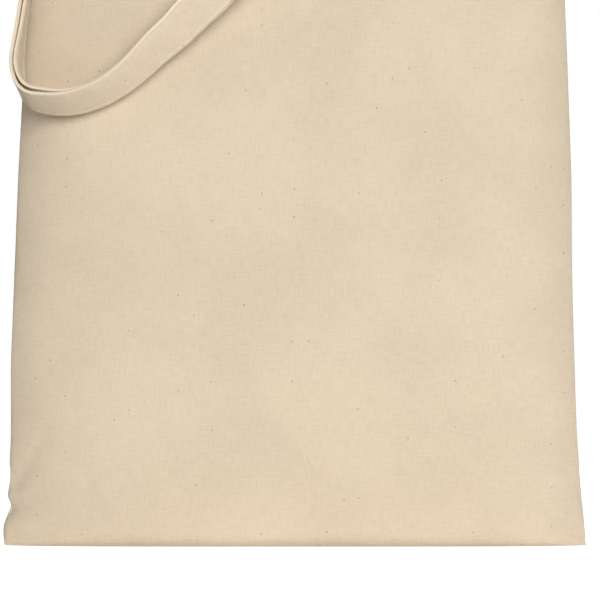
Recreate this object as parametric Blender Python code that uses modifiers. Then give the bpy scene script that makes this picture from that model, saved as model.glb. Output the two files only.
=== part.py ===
"""Canvas tote bag, standing open and empty, with both handles flopped over the front left edge.

Metres, +Z up, the front of the bag faces -Y. The origin is on the surface that the bag stands on,
under the middle of the front panel's base.
"""
import bpy
import bmesh
import numpy as np
from mathutils import Vector

# ---- Driving dimensions ----
FLAT_WIDTH = 0.381           # width of the bag laid flat, seam to seam
MOUTH_HEIGHT = 0.392         # height of the mouth above the floor
BASE_HALF_WIDTH = 0.1880     # middle to a side, just above the flared corners
SIDE_LEAN = 0.0298           # how much a side leans in, per metre of height
CORNER_FLARE = 0.0026        # how far the bottom corners stand out
FLARE_HEIGHT = 0.012
DRAW_IN = 0.107              # the sides curve in towards the open mouth
DRAW_IN_FROM = 0.240
BASE_HALF_DEPTH = 0.022      # middle to the front, at the base and at the mouth
MOUTH_HALF_DEPTH = 0.024
BASE_POWER = 2.0             # the outline is an ellipse at the base and squarer at the mouth
MOUTH_POWER = 5.0
POWER_RISE = 1.5
CORNER_PULL = 0.15           # share of the base's rounding that the sides follow
CANVAS = 0.0008              # thickness of a panel
GAP = 0.0003                 # gap between pieces that touch
HALF_GAP = 0.0007            # from the bag's middle plane to each panel's side edge
BASE_ROUND = 0.009           # radius where a panel turns under into the base
SEAM_SHIFT = 0.004           # the bottom seam lies this far behind the middle
HEM_DEPTH = 0.030
HEM_THICKNESS = 0.0012       # two turned layers
HEM_DROP = 0.0005            # top of the hem, below the mouth
HEM_ROW_RISE = 0.003         # the hem's lower edge to its row of thread
SEAM_ALLOWANCE = 0.010
SEAM_THICKNESS = 0.0014      # two layers side by side
SEAM_INSET = 0.0040          # side of the bag to the allowance that stands inside it
SEAM_FOOT = 0.014            # where the side allowances start above the floor
SEAM_TOP_GAP = 0.002         # and how far below the hem they stop
BOTTOM_SEAM_HALF = 0.165
THREAD = 0.0004              # how far a row of thread stands up
ROW_WIDTH = 0.0008
EASE = 0.0002                # added to a gap where two curved faces lie close

STRAP_WIDTH = 0.0254
STRAP_THICKNESS = 0.0024     # four layers of canvas
STRAP_ROW_INSET = 0.003      # edge of the strap to its row of thread
NEST_OFFSET = 0.0038         # the back strap lies this far outside the front strap
HANDLE_X = 0.066             # middle of the bag to the middle of a sewn end
SEWN_DEPTH = 0.025           # length of strap inside the hem
SEWN_Y = 0.0196              # middle of the bag to the middle of a sewn end's thickness
HINGE_Y = -0.025             # the handles turn about a line along X, over the front hem
HINGE_Z = 0.419
SPLIT_X = -0.140             # the left leg of each loop starts here
SPLIT_CLEARANCE = 0.0012     # from there to the loop's own end
MOVING_CLEARANCE = 0.0016    # from the hinge line to the right end of each loop

BOX_HALF_WIDTH = 0.0095
BOX_TOP = 0.004              # mouth to the top row of a tack
BOX_BOTTOM = 0.024
BOX_ROW = 0.0009
CANVAS_ROUGHNESS = 0.9
THREAD_ROUGHNESS = 0.6

COLUMNS = 25                 # quads across a panel
SIDE_CROWDING = 0.375        # 0 for even columns, 0.5 for all of them towards the sides
WALL_ROWS = 11
ROUND_ROWS = 4
SIDE_SEAM_ROWS = 13
BOTTOM_SEAM_ROWS = 12
OUTLINE_POINTS = 721
STRAP_STEPS = 3              # quads between two of a strap's route points


def srgb(red, green, blue):
    """A colour given as 0 to 255 values, as the linear values that a shader takes."""
    values = [channel / 255 for channel in (red, green, blue)]
    return tuple(v / 12.92 if v <= 0.04045 else ((v + 0.055) / 1.055) ** 2.4 for v in values) + (1.0,)


CANVAS_COLOUR = srgb(223, 206, 180)
STRAP_COLOUR = srgb(222, 200, 175)
THREAD_COLOUR = srgb(240, 228, 205)

# The route of the back handle's loop, from the bend over the left of the mouth, down the left
# edge, round the low point and up to the bend on the right: a point on the middle of the strap,
# and the direction across it towards its front edge.
LOOP_ROUTE = [
    ((-0.1400, -0.0250, 0.4190), (0.00, -1.00, 0.00)),
    ((-0.1530, -0.0262, 0.4165), (0.00, -1.00, 0.00)),
    ((-0.1635, -0.0300, 0.4065), (-0.02, -1.00, 0.00)),
    ((-0.1695, -0.0328, 0.3900), (-0.04, -1.00, 0.00)),
    ((-0.1735, -0.0314, 0.3620), (-0.05, -1.00, 0.00)),
    ((-0.1771, -0.0294, 0.3340), (-0.08, -0.99, 0.04)),
    ((-0.1803, -0.0282, 0.3120), (-0.16, -0.97, 0.17)),
    ((-0.1785, -0.0318, 0.2958), (-0.14, -0.89, 0.44)),
    ((-0.1712, -0.0345, 0.2885), (-0.13, -0.89, 0.42)),
    ((-0.1610, -0.0362, 0.2863), (-0.09, -0.88, 0.46)),
    ((-0.1510, -0.0375, 0.2854), (-0.11, -0.86, 0.49)),
    ((-0.1404, -0.0380, 0.2865), (-0.18, -0.82, 0.54)),
    ((-0.1301, -0.0385, 0.2899), (-0.26, -0.79, 0.55)),
    ((-0.1182, -0.0393, 0.2957), (-0.39, -0.76, 0.50)),
    ((-0.1037, -0.0405, 0.3068), (-0.53, -0.70, 0.47)),
    ((-0.0893, -0.0418, 0.3206), (-0.66, -0.57, 0.47)),
    ((-0.0762, -0.0428, 0.3325), (-0.73, -0.42, 0.52)),
    ((-0.0540, -0.0450, 0.3545), (-0.72, -0.18, 0.66)),
    ((-0.0280, -0.0465, 0.3800), (-0.69, 0.00, 0.72)),
    ((-0.0010, -0.0455, 0.4030), (-0.70, 0.15, 0.68)),
    ((0.0200, -0.0385, 0.4155), (-0.68, 0.45, 0.45)),
    ((0.0420, -0.0250, 0.4190), (-0.62, 0.78, 0.00)),
]
# The sewn ends, from the foot of the strap inside the hem to the bend where its loop starts.
FRONT_LEFT_ROUTE = [
    ((-HANDLE_X, -SEWN_Y, MOUTH_HEIGHT - SEWN_DEPTH), (1.00, 0.00, 0.00)),
    ((-HANDLE_X, -SEWN_Y, MOUTH_HEIGHT), (1.00, 0.00, 0.00)),
    ((-0.073, -0.0210, 0.4040), (0.60, -0.65, 0.40)),
    ((-0.089, -0.0230, 0.4120), (0.30, -0.93, 0.25)),
    ((-0.112, -0.0248, 0.4155), (0.05, -1.00, 0.05)),
    ((SPLIT_X, HINGE_Y, HINGE_Z - NEST_OFFSET), (0.00, -1.00, 0.00)),
]
FRONT_RIGHT_ROUTE = [
    ((HANDLE_X, -SEWN_Y, MOUTH_HEIGHT - SEWN_DEPTH), (1.00, 0.00, 0.00)),
    ((HANDLE_X, -SEWN_Y, MOUTH_HEIGHT), (1.00, 0.00, 0.05)),
    ((0.062, -0.0196, 0.4030), (0.96, 0.00, 0.25)),
    ((0.054, -0.0200, 0.4090), (0.88, -0.40, 0.15)),
    ((0.0445, -0.0227, 0.4140), (0.64, -0.76, 0.00)),
]
BACK_LEFT_ROUTE = [
    ((-HANDLE_X, SEWN_Y, MOUTH_HEIGHT - SEWN_DEPTH), (1.00, 0.00, 0.00)),
    ((-HANDLE_X, SEWN_Y, MOUTH_HEIGHT), (1.00, 0.00, 0.00)),
    ((-0.070, 0.0175, 0.4060), (0.92, -0.30, 0.20)),
    ((-0.086, 0.0060, 0.4170), (0.60, -0.78, 0.15)),
    ((-0.112, -0.0135, 0.4215), (0.25, -0.97, 0.00)),
    ((SPLIT_X, HINGE_Y, HINGE_Z), (0.00, -1.00, 0.00)),
]
BACK_RIGHT_ROUTE = [
    ((HANDLE_X, SEWN_Y, MOUTH_HEIGHT - SEWN_DEPTH), (1.00, 0.00, 0.00)),
    ((HANDLE_X, SEWN_Y, MOUTH_HEIGHT), (1.00, 0.00, 0.00)),
    ((0.066, 0.0170, 0.4080), (1.00, 0.00, 0.00)),
    ((0.062, 0.0050, 0.4165), (0.95, -0.25, 0.00)),
    ((0.054, -0.0110, 0.4190), (0.80, -0.60, 0.00)),
    ((0.0445, -0.0227, 0.4182), (0.64, -0.76, 0.00)),
]


# ---- Shape of the bag ----

def half_width(z):
    """Half of the bag's width: flared at the base, narrower where the mouth is open."""
    flare = CORNER_FLARE * np.exp(-z / FLARE_HEIGHT)
    draw_in = DRAW_IN * max(0.0, z - DRAW_IN_FROM) ** 2
    return BASE_HALF_WIDTH - SIDE_LEAN * z + flare - draw_in


def base_inset(z):
    """How far the rounded lower edge pulls in at height z."""
    if z >= BASE_ROUND:
        return 0.0
    return BASE_ROUND - np.sqrt(BASE_ROUND ** 2 - (BASE_ROUND - z) ** 2)


def section(side, z, inset=0.0, trim=0):
    """Points along one panel at height z, closer together at the rounded sides; side is -1 front,
    +1 back. The inset moves the curve into the bag, and trim leaves points out at both ends."""
    rise = z / MOUTH_HEIGHT
    a = half_width(z) - CORNER_PULL * base_inset(z) - inset
    b = BASE_HALF_DEPTH + (MOUTH_HALF_DEPTH - BASE_HALF_DEPTH) * rise - base_inset(z) - inset
    power = BASE_POWER + (MOUTH_POWER - BASE_POWER) * rise ** POWER_RISE
    angle = np.linspace(np.pi, 0.0, OUTLINE_POINTS)
    x = a * np.sign(np.cos(angle)) * np.abs(np.cos(angle)) ** (2 / power)
    y = b * np.abs(np.sin(angle)) ** (2 / power)
    length = np.concatenate(([0.0], np.cumsum(np.hypot(np.diff(x), np.diff(y)))))
    place = np.linspace(-1.0, 1.0, COLUMNS + 1)[trim:COLUMNS + 1 - trim]
    crowded = (0.5 - SIDE_CROWDING) * place + SIDE_CROWDING * np.sin(np.pi / 2 * place)
    wanted = length[-1] * (0.5 + crowded)
    xs, ys = np.interp(wanted, length, x), np.interp(wanted, length, y)
    return [Vector((px, side * (py + HALF_GAP), z)) for px, py in zip(xs, ys)]


def seam_y(x):
    """The bottom seam's place: behind the middle, and back on the corners at both ends."""
    return SEAM_SHIFT * (1.0 - (x / (FLAT_WIDTH / 2)) ** 2)


# ---- Building helpers ----

def make_collection(name):
    collection = bpy.data.collections.new(name)
    bpy.context.scene.collection.children.link(collection)
    return collection


def make_material(name, colour, roughness):
    material = bpy.data.materials.new(name)
    material.use_nodes = True
    shader = material.node_tree.nodes["Principled BSDF"]
    shader.inputs["Base Color"].default_value = colour
    shader.inputs["Roughness"].default_value = roughness
    shader.inputs["Metallic"].default_value = 0.0
    return material


def add_sheet(name, rows, thickness, colour, roughness=CANVAS_ROUGHNESS, offset=-1.0, pivot=(0, 0, 0)):
    """A grid of points as an open surface, thickened by Solidify; its origin is at the pivot."""
    mesh = bpy.data.meshes.new(name)
    bm = bmesh.new()
    grid = [[bm.verts.new(point - Vector(pivot)) for point in row] for row in rows]
    for lower, upper in zip(grid, grid[1:]):
        for j in range(len(lower) - 1):
            bm.faces.new((lower[j], lower[j + 1], upper[j + 1], upper[j]))
    bmesh.ops.remove_doubles(bm, verts=bm.verts, dist=0.00002)
    bm.to_mesh(mesh)
    bm.free()
    mesh.materials.append(make_material(name + "_material", colour, roughness))
    piece = bpy.data.objects.new(name, mesh)
    piece.location = pivot
    solid = piece.modifiers.new("Thickness", "SOLIDIFY")
    solid.thickness = thickness
    solid.offset = offset
    mesh.shade_smooth()
    PARTS.objects.link(piece)
    return piece


def facing(rows, side):
    """The grid with its faces turned outwards: front panels run left to right, back ones not."""
    return rows if side < 0 else [list(reversed(row)) for row in rows]


# ---- Panels, hems and seams ----

def panel_rows(side):
    """From the bottom seam across the base, round the lower edge and up to the mouth."""
    outline = section(side, 0.0)
    seam = [Vector((p.x, seam_y(p.x) + side * GAP, 0.0)) for p in outline]
    turn = [BASE_ROUND * (1 - np.cos(t)) for t in np.linspace(0, np.pi / 2, ROUND_ROWS + 1)[1:]]
    climb = [BASE_ROUND + (MOUTH_HEIGHT - BASE_ROUND) * k / WALL_ROWS for k in range(1, WALL_ROWS + 1)]
    return [seam, outline] + [section(side, z) for z in turn + climb]


def make_panel(name, side):
    add_sheet(name, facing(panel_rows(side), side), CANVAS, CANVAS_COLOUR)


def make_hem(name, side):
    top = MOUTH_HEIGHT - HEM_DROP
    heights = [top - HEM_DEPTH, top - HEM_DEPTH / 2, top]
    inset = CANVAS + GAP + EASE
    rows = [section(side, z, inset, trim=2) for z in heights]
    add_sheet(name, facing(rows, side), HEM_THICKNESS, CANVAS_COLOUR)


def make_hem_stitching(name, side):
    middle = MOUTH_HEIGHT - HEM_DEPTH + HEM_ROW_RISE
    outset = -(THREAD + GAP)
    heights = (middle - ROW_WIDTH / 2, middle + ROW_WIDTH / 2)
    rows = [section(side, z, outset, trim=1) for z in heights]
    add_sheet(name, facing(rows, side), THREAD, THREAD_COLOUR, THREAD_ROUGHNESS)


def side_strip(side, start, end):
    """A strip in the bag's middle plane, between two distances in from a side seam."""
    heights = np.linspace(SEAM_FOOT, MOUTH_HEIGHT - HEM_DEPTH - SEAM_TOP_GAP, SIDE_SEAM_ROWS)
    return [[Vector((side * (half_width(z) - depth), 0.0, z)) for depth in (start, end)] for z in heights]


def make_side_seam(name, side):
    strip = side_strip(side, SEAM_INSET, SEAM_INSET + SEAM_ALLOWANCE)
    add_sheet(name, strip, SEAM_THICKNESS, CANVAS_COLOUR, offset=0.0)


def make_side_overlock(name, side):
    start = SEAM_INSET + SEAM_ALLOWANCE + GAP
    add_sheet(name, side_strip(side, start, start + ROW_WIDTH), SEAM_THICKNESS + 2 * THREAD,
              THREAD_COLOUR, THREAD_ROUGHNESS, offset=0.0)


def bottom_strip(low, high):
    """A strip that stands on the bottom seam, between two heights."""
    places = np.linspace(-BOTTOM_SEAM_HALF, BOTTOM_SEAM_HALF, BOTTOM_SEAM_ROWS)
    return [[Vector((x, seam_y(x), z)) for z in (low, high)] for x in places]


def make_bottom_seam():
    low = CANVAS + 2 * GAP
    add_sheet("bottom_seam", bottom_strip(low, low + SEAM_ALLOWANCE), SEAM_THICKNESS,
              CANVAS_COLOUR, offset=0.0)
    start = low + SEAM_ALLOWANCE + GAP
    add_sheet("bottom_seam_overlock", bottom_strip(start, start + ROW_WIDTH),
              SEAM_THICKNESS + 2 * THREAD, THREAD_COLOUR, THREAD_ROUGHNESS, offset=0.0)


# ---- Handles ----

def smooth(points, steps=STRAP_STEPS):
    """Points on a smooth curve that passes through every given point."""
    padded = [2 * points[0] - points[1]] + points + [2 * points[-1] - points[-2]]
    curve = []
    for p0, p1, p2, p3 in zip(padded, padded[1:], padded[2:], padded[3:]):
        for k in range(steps):
            t = k / steps
            curve.append(0.5 * (2 * p1 + (p2 - p0) * t + (2 * p0 - 5 * p1 + 4 * p2 - p3) * t ** 2
                                + (3 * p1 - p0 - 3 * p2 + p3) * t ** 3))
    return curve + [points[-1]]


def strap_frames(route):
    """Middle, direction across and face direction at each step along a strap."""
    middles = smooth([Vector(point) for point, across in route])
    acrosses = smooth([Vector(across) for point, across in route])
    frames = []
    for i, (middle, across) in enumerate(zip(middles, acrosses)):
        ahead = middles[min(i + 1, len(middles) - 1)] - middles[max(i - 1, 0)]
        ahead.normalize()
        if 0 < i < len(middles) - 1:
            across = across - across.dot(ahead) * ahead
        across.normalize()
        frames.append((middle, across, ahead.cross(across).normalized()))
    return frames


def strap_rows(frames, offset=0.0, near=STRAP_WIDTH / 2, far=-STRAP_WIDTH / 2):
    """The strap's surface between two distances from its middle line, raised along its face."""
    return [[m + n * offset + w * far, m + n * offset + w * near] for m, w, n in frames]


def loop_frames(offset):
    """The loop's frames, moved in by the offset and cut short where it meets its sewn ends."""
    frames = [(m - n * offset, w, n) for m, w, n in strap_frames(LOOP_ROUTE)]
    first, last = frames[0], frames[-1]
    start = first[0] + Vector((-SPLIT_CLEARANCE, 0.0, 0.0))
    back = (frames[-2][0] - last[0]).normalized()
    end = last[0] + back * (MOVING_CLEARANCE / abs(back.y))
    return [(start, first[1], first[2])] + frames[1:-1] + [(end, last[1], last[2])]


def make_strap(name, frames, pivot=(0, 0, 0)):
    add_sheet(name, strap_rows(frames), STRAP_THICKNESS, STRAP_COLOUR, offset=0.0, pivot=pivot)


def make_strap_stitching(name, frames, place, pivot):
    """One row of thread that stands on the outer face of a strap."""
    raised = STRAP_THICKNESS / 2 + GAP + THREAD / 2
    rows = strap_rows(frames, raised, place + ROW_WIDTH / 2, place - ROW_WIDTH / 2)
    add_sheet(name, rows, THREAD, THREAD_COLOUR, THREAD_ROUGHNESS, offset=0.0, pivot=pivot)


def make_handle(name, offset):
    pivot = (0.0, HINGE_Y, HINGE_Z)
    frames = loop_frames(offset)
    row = STRAP_WIDTH / 2 - STRAP_ROW_INSET
    make_strap(name, frames, pivot)
    make_strap_stitching(name + "_inner_stitching", frames, row, pivot)
    make_strap_stitching(name + "_outer_stitching", frames, -row, pivot)


def make_handle_ends():
    for name, route in (("front_handle_left_end", FRONT_LEFT_ROUTE),
                        ("front_handle_right_end", FRONT_RIGHT_ROUTE),
                        ("back_handle_left_end", BACK_LEFT_ROUTE),
                        ("back_handle_right_end", BACK_RIGHT_ROUTE)):
        make_strap(name, strap_frames(route))


# ---- Box-and-cross tacks ----

def add_outline(curve, points):
    spline = curve.splines.new("POLY")
    spline.points.add(len(points) - 1)
    for place, (x, y) in zip(spline.points, points):
        place.co = (x, y, 0.0, 1.0)
    spline.use_cyclic_u = True


def make_box_stitch(name, x, side):
    """A rectangle of thread with a cross in it, on the outside of a panel over a sewn end."""
    curve = bpy.data.curves.new(name, "CURVE")
    curve.dimensions = "2D"
    curve.fill_mode = "BOTH"
    curve.extrude = THREAD / 2
    w, h, r = BOX_HALF_WIDTH, (BOX_BOTTOM - BOX_TOP) / 2, BOX_ROW
    add_outline(curve, [(-w, -h), (w, -h), (w, h), (-w, h)])
    tip = 0.75 * r
    for way in (1, -1):
        add_outline(curve, [(way * tip, 0), (way * (w - r), h - 2 * r), (way * (w - r), 2 * r - h)])
        add_outline(curve, [(0, way * tip), (w - 2 * r, way * (h - r)), (2 * r - w, way * (h - r))])
    curve.materials.append(make_material(name + "_material", THREAD_COLOUR, THREAD_ROUGHNESS))
    piece = bpy.data.objects.new(name, curve)
    z = MOUTH_HEIGHT - (BOX_TOP + BOX_BOTTOM) / 2
    wall = MOUTH_HALF_DEPTH + HALF_GAP
    piece.location = (x, side * (wall + EASE + THREAD / 2), z)
    piece.rotation_euler = (np.pi / 2, 0.0, 0.0)
    PARTS.objects.link(piece)


# ---- Assembly ----

for old in list(bpy.data.objects):
    bpy.data.objects.remove(old, do_unlink=True)
PARTS = make_collection("canvas_tote_bag")

for label, direction in (("front", -1), ("back", 1)):
    make_panel(label + "_panel", direction)
    make_hem(label + "_hem", direction)
    make_hem_stitching(label + "_hem_stitching", direction)
    make_box_stitch(label + "_left_box_stitch", -HANDLE_X, direction)
    make_box_stitch(label + "_right_box_stitch", HANDLE_X, direction)
for label, direction in (("left", -1), ("right", 1)):
    make_side_seam(label + "_side_seam", direction)
    make_side_overlock(label + "_seam_overlock", direction)
make_bottom_seam()
make_handle_ends()
make_handle("back_handle", 0.0)
make_handle("front_handle", NEST_OFFSET)
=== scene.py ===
"""The looks of the canvas tote bag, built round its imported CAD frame. Metres, +Z up, front towards -Y."""
import bpy
import numpy as np
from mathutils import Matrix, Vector, noise


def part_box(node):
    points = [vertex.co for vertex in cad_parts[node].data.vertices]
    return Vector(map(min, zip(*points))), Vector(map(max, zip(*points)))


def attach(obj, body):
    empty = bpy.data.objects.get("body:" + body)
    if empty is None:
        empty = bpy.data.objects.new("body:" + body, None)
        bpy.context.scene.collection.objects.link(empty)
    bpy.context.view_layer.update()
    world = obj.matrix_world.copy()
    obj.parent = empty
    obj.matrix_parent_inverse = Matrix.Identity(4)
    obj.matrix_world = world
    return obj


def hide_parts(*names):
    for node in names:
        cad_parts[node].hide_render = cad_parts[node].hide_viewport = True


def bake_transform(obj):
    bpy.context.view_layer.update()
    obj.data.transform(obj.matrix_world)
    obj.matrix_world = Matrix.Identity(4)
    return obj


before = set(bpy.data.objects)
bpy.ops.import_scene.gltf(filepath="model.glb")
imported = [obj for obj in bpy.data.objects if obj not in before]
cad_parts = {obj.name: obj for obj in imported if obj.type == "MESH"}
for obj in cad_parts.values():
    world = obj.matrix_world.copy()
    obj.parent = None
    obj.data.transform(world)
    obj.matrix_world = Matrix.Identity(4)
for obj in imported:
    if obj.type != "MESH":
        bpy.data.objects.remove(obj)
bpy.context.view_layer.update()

WEAVE_MAP = "weave"          # UV map that holds places on the flat cloth, in metres

# ---- Sizes: the mouth and the depth from the frame, the rest as in the CAD or chosen here ----
MOUTH = float(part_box("front_panel")[1][2])
SET_BACK = 0.0003            # the cloth's face lies this far inside the frame's, at its deepest
HALF_DEPTH = float(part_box("back_panel")[1][1]) - SET_BACK
BASE_TAPER = 0.002           # how much less deep the bag is at its base than at its mouth
BASE_ROUND = 0.012           # radius where a panel turns under into the base
SEAM_SHIFT = 0.004           # the bottom seam lies this far behind the middle
SEAM_HALF_WIDTH = 0.1905
EDGE_ROUND = 0.003           # roundness of the bag's edge along a side seam
CLOTH = 0.00065              # one layer of canvas
FOLD = 0.0021                # the hem, three layers together
HEM_CLOTH = 0.0004           # thickness given to the turned edge inside
HEM_DEPTH = 0.030
HEM_ROW_RISE = 0.003         # the hem's lower edge to its row of thread
HEM_ROW = MOUTH - HEM_DEPTH + HEM_ROW_RISE
ROLL = 0.0006                # radius of the hem's rolled lower edge
ALLOWANCE = 0.010            # width of the seam allowances inside
SIDE_INSET = 0.0020          # side of the bag to the allowance that stands inside it
SEAM_FOOT = 0.014            # where the side allowances start above the floor
SEAM_TOP_GAP = 0.002         # and how far below the hem they stop
BOTTOM_SEAM_HALF = 0.165
STRAP_WIDTH = 0.0254
STRAP_THICKNESS = 0.0023
STITCH_INSET = 0.003
HANDLE_X = 0.066             # middle of the bag to the middle of a sewn end
SEWN_Y = 0.0208              # middle of the bag to the middle of a sewn end's thickness
SEWN_DEPTH = 0.025           # of a sewn end below the mouth
TURN_Z = MOUTH - 0.002       # a strap leaves the hem here
BODY = "bag"


# ---- Curves, lines of points and noise ----

def smoothstep(low, high, value):
    t = np.clip((value - low) / (high - low), 0.0, 1.0)
    return t * t * (3 - 2 * t)


def curve_through(knots, where):
    """A smooth curve through (place, value) knots, read at the places given."""
    xs = np.array([k[0] for k in knots], float)
    ys = np.array([k[1] for k in knots], float)
    slopes = np.gradient(ys, xs)
    where = np.clip(where, xs[0], xs[-1])
    i = np.clip(np.searchsorted(xs, where, side="right") - 1, 0, len(xs) - 2)
    width = xs[i + 1] - xs[i]
    t = (where - xs[i]) / width
    return ((2 * t ** 3 - 3 * t ** 2 + 1) * ys[i] + (t ** 3 - 2 * t ** 2 + t) * width * slopes[i]
            + (3 * t ** 2 - 2 * t ** 3) * ys[i + 1] + (t ** 3 - t ** 2) * width * slopes[i + 1])


def lengths_along(points):
    """How far along a line of points each of them is."""
    return np.concatenate(([0.0], np.cumsum(np.linalg.norm(np.diff(points, axis=0), axis=1))))


def read_at(where, along, values):
    """Points or directions read at one or more places along a line."""
    return np.stack([np.interp(where, along, values[:, k]) for k in range(3)], axis=-1)


def unit_rows(vectors):
    return vectors / np.linalg.norm(vectors, axis=1, keepdims=True)


def unit(vector):
    return vector / np.linalg.norm(vector)


def soft_noise(points, size, seed):
    """Smooth noise, about -1 to 1, with features of the given size."""
    shift = Vector((seed * 3.1, seed * 7.7, seed * 1.3))
    return np.array([noise.noise(Vector(p) / size + shift) for p in points])


# ---- Shape of the bag ----
# Half widths by height: the left corner is pinched just above an ear, the right one flares out.
LEFT_SIDE = [(0.000, 0.1895), (0.003, 0.1900), (0.0065, 0.1904), (0.010, 0.1902), (0.0135, 0.1898),
             (0.0165, 0.1890), (0.0195, 0.1879), (0.0228, 0.1865), (0.0259, 0.1855), (0.029, 0.1862),
             (0.0325, 0.1874), (0.036, 0.1870), (0.040, 0.1864), (0.048, 0.1859), (0.055, 0.1861),
             (0.065, 0.1856), (0.085, 0.1854), (0.102, 0.1855), (0.120, 0.1854), (0.140, 0.1846),
             (0.160, 0.1838), (0.199, 0.1822), (0.238, 0.1807), (0.274, 0.1789), (0.306, 0.1772),
             (0.338, 0.1759), (0.392, 0.1737)]
RIGHT_SIDE = [(0.000, 0.1906), (0.006, 0.1903), (0.013, 0.1897), (0.020, 0.1890), (0.029, 0.1880),
              (0.042, 0.1869), (0.055, 0.1859), (0.068, 0.1850), (0.101, 0.1837), (0.140, 0.1825),
              (0.160, 0.1819), (0.199, 0.1814), (0.238, 0.1810), (0.274, 0.1798), (0.303, 0.1788),
              (0.337, 0.1775), (0.392, 0.1752)]

# Folds in the cloth: both ends (x, z), strongest at the first, then width and depth outwards.
FRONT_FOLDS = [
    ((-0.104, 0.2910), (-0.050, 0.3310), 0.0110, -0.0020),
    ((-0.1855, 0.0234), (-0.1838, 0.0232), 0.0028, -0.0036),
    ((-0.188, 0.0340), (-0.174, 0.0370), 0.0045, 0.0012),
    ((-0.190, 0.0120), (-0.168, 0.0170), 0.0060, 0.0012),
    ((-0.181, 0.0400), (-0.164, 0.0700), 0.0060, -0.0013),
    ((-0.176, 0.0300), (-0.135, 0.0480), 0.0080, -0.0006),
    ((-0.182, 0.0070), (-0.120, 0.0050), 0.0024, -0.0007),
    ((0.188, 0.0096), (0.142, 0.0062), 0.0022, -0.0014),
    ((0.186, 0.0250), (0.150, 0.0420), 0.0080, 0.0006),
    ((-0.066, 0.3600), (-0.095, 0.2600), 0.0160, 0.0008),
    ((0.066, 0.3600), (0.100, 0.2500), 0.0180, 0.0007),
    ((-0.130, 0.0400), (-0.060, 0.1500), 0.0300, -0.0009),
    ((0.135, 0.0400), (0.080, 0.1700), 0.0320, -0.0008),
    ((0.000, 0.3600), (0.010, 0.1800), 0.0300, -0.0008),
]
BACK_FOLDS = [
    ((-0.192, 0.0265), (-0.174, 0.0330), 0.0036, -0.0026),
    ((0.188, 0.0300), (0.165, 0.0420), 0.0060, -0.0012),
    ((0.191, 0.0120), (0.155, 0.0150), 0.0030, -0.0008),
    ((-0.150, 0.0600), (-0.060, 0.1700), 0.0260, -0.0014),
    ((0.150, 0.0500), (0.070, 0.1900), 0.0280, -0.0015),
    ((0.066, 0.3600), (0.090, 0.2300), 0.0180, 0.0012),
    ((-0.066, 0.3600), (-0.085, 0.2400), 0.0180, 0.0012),
]

# Smaller unevenness of the cloth: heights, and the sizes that go with them.
FOLD_FADE = 0.7              # share of a fold's depth that is lost at its second end
SLACK, SLACK_SIZE = 0.0008, 0.085
CRUMPLE, CRUMPLE_SIZE = 0.00028, 0.022
PUCKER, PUCKER_PITCH, PUCKER_REACH = 0.00013, 0.0068, 0.004      # on both sides of the hem's thread
GROOVE, GROOVE_WIDTH = 0.00030, 0.0011       # pressed in by that thread
MOUTH_WAVE, MOUTH_WAVE_FOOT = 0.0012, 0.30   # the slack of the mouth, and where it starts
FOOT_FADE = 0.010            # height over which all of it fades out at the base
SEAM_FADE = 0.0035           # depth over which it fades out at a side seam

# The section through the bag.
SECTION_STEPS = 1501
SIDE_RIPPLE, SIDE_RIPPLE_PITCH = 0.00003, 0.0105
SQUARENESS = 5.6             # exponent of the section's curve at the base
MOUTH_SQUARENESS = 3.0       # and what is added to it at the mouth
SEAM_PINCH, SEAM_PINCH_WIDTH = 0.0005, 0.0007
MIDDLE_GAP = 0.00006         # each panel stays this far from the bag's middle plane
NEARBY = 0.001               # a short way along the cloth, over which directions are measured


def base_inset(z):
    """How far the cloth has curved in where it turns under into the base."""
    low = np.minimum(z, BASE_ROUND)
    return BASE_ROUND - np.sqrt(BASE_ROUND ** 2 - (BASE_ROUND - low) ** 2)


def along_segment(x, z, start, end):
    """Distance from a segment, and how far along it the nearest point is, 0 to 1."""
    (x0, z0), (x1, z1) = start, end
    dx, dz = x1 - x0, z1 - z0
    t = ((x - x0) * dx + (z - z0) * dz) / (dx * dx + dz * dz)
    near = np.clip(t, 0.0, 1.0)
    distance = np.hypot(x - x0 - near * dx, z - z0 - near * dz)
    return distance, near


def relief(side, x, z):
    """How far the cloth stands out of its plain shape: folds, slack and puckers at the hem."""
    height = np.zeros_like(x)
    for start, end, width, depth in (FRONT_FOLDS if side < 0 else BACK_FOLDS):
        distance, near = along_segment(x, z, start, end)
        height += depth * np.exp(-(distance / width) ** 2) * (1 - FOLD_FADE * near)
    flat = np.stack([x.ravel(), np.full(x.size, 0.31 * side), z.ravel()], axis=1)
    height += SLACK * soft_noise(flat, SLACK_SIZE, 2.0).reshape(x.shape)
    height += CRUMPLE * soft_noise(flat, CRUMPLE_SIZE, 5.0).reshape(x.shape)
    row = z - HEM_ROW
    wave = np.sin(2 * np.pi * x / PUCKER_PITCH + 2.0 * np.sin(x * 60))
    pucker = wave * np.exp(-(row / PUCKER_REACH) ** 2)
    height += PUCKER * pucker - GROOVE * np.exp(-(row / GROOVE_WIDTH) ** 2)
    height += MOUTH_WAVE * np.sin(x * 21 + 0.6 * side) * smoothstep(MOUTH_WAVE_FOOT, MOUTH, z)
    return height * smoothstep(0.0, FOOT_FADE, z)


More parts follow.
